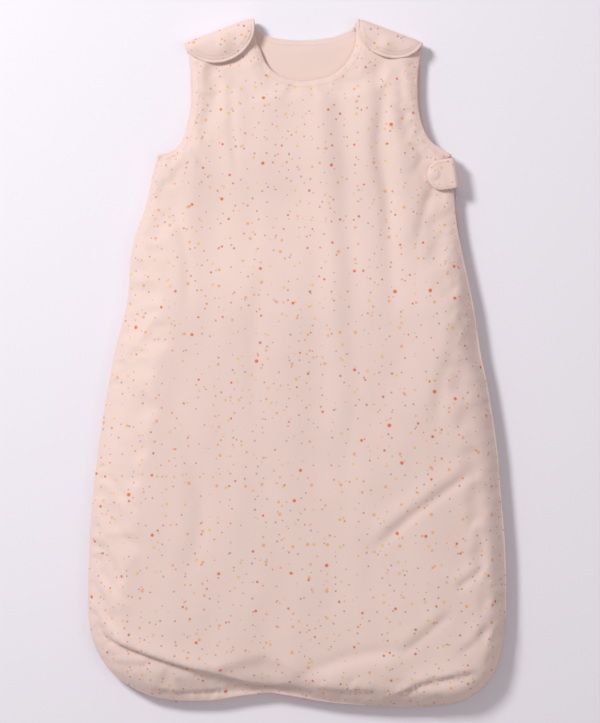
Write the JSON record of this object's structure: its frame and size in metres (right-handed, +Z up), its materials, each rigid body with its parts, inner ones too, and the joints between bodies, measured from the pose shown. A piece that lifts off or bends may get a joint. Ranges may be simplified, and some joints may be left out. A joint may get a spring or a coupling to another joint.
{
  "type": "baby sleeping bag",
  "caption": "Sleeveless quilted baby sleeping bag lying flat, with snap shoulder flaps, an underarm snap tab and a zip down one side and round the hem.",
  "frame": {"origin": "middle of the bag's footprint, on the surface it lies on", "axes": "+X towards the zip side (the viewer's right when looking down on the front), +Y towards the head, +Z up out of the front panel"},
  "size_m": [0.418, 0.6993, 0.042],
  "materials": {
    "printed_cotton": "soft cotton jersey with small scattered dots",
    "lining": "plain cotton jersey",
    "wadding": "polyester wadding",
    "binding": "plain cotton bias binding",
    "snap": "matt painted snap",
    "zip_tape": "woven polyester tape",
    "zip_teeth": "moulded teeth",
    "zip_slider": "painted die-cast slider"
  },
  "bodies": {
    "bag": {"back_lining": "lining", "back_neck_binding": "binding", "back_shell": "printed_cotton", "back_wadding": "wadding", "front_lining": "lining", "front_neck_binding": "binding", "front_shell": "printed_cotton", "front_wadding": "wadding", "left_armhole_binding": "binding", "left_shoulder_stud": "snap", "left_shoulder_stud_ring": "snap", "left_side_seam": "binding", "left_strap_fold": "printed_cotton", "right_back_armhole_binding": "binding", "right_front_armhole_binding": "binding", "right_shoulder_stud": "snap", "right_shoulder_stud_ring": "snap", "right_strap_fold": "printed_cotton", "side_tab_fold": "printed_cotton", "side_tab_stud": "snap", "side_tab_stud_ring": "snap", "zip_bottom_stop": "zip_teeth", "zip_tape_back": "zip_tape", "zip_tape_front": "zip_tape", "zip_teeth_back": "zip_teeth", "zip_teeth_front": "zip_teeth", "zip_top_stops": "zip_teeth"},
    "left_flap": {"left_flap_shell": "printed_cotton", "left_flap_wadding": "wadding", "left_flap_lining": "lining", "left_flap_binding": "binding", "left_shoulder_socket": "snap", "left_shoulder_socket_ring": "snap"},
    "right_flap": {"right_flap_shell": "printed_cotton", "right_flap_wadding": "wadding", "right_flap_lining": "lining", "right_flap_binding": "binding", "right_shoulder_socket": "snap", "right_shoulder_socket_ring": "snap"},
    "side_tab": {"side_tab_shell": "printed_cotton", "side_tab_lining": "lining", "side_tab_socket": "snap", "side_tab_socket_ring": "snap"},
    "zip_slider": {"zip_slider": "zip_slider"},
    "zip_pull": {"zip_pull": "zip_slider"}
  },
  "joints": [
    {"name": "left_flap_hinge", "type": "hinge", "parent": "bag", "child": "left_flap", "pos_m": [-0.08, 0.337, 0.0108], "axis": [-0.9367, -0.3502, 0], "range_deg": [0, 180], "deforming": ["left_strap_fold"]},
    {"name": "right_flap_hinge", "type": "hinge", "parent": "bag", "child": "right_flap", "pos_m": [0.096, 0.337, 0.0108], "axis": [-0.9367, 0.3502, 0], "range_deg": [0, 180], "deforming": ["right_strap_fold"]},
    {"name": "side_tab_hinge", "type": "hinge", "parent": "bag", "child": "side_tab", "pos_m": [0.15966, 0.20948, 0.01285], "axis": [-0.1514, 0.9885, 0], "range_deg": [0, 180], "deforming": ["side_tab_fold"]},
    {"name": "zip_slide", "type": "slide", "parent": "bag", "child": "zip_slider", "axis": [0.1514, -0.9885, 0], "range_m": [0, 0.242], "deforming": ["zip_teeth_front", "zip_teeth_back"]},
    {"name": "zip_pull_hinge", "type": "hinge", "parent": "zip_slider", "child": "zip_pull", "pos_m": [0.15923, 0.18817, 0.011], "axis": [0, 0, 1], "range_deg": [0, 150]}
  ]
}
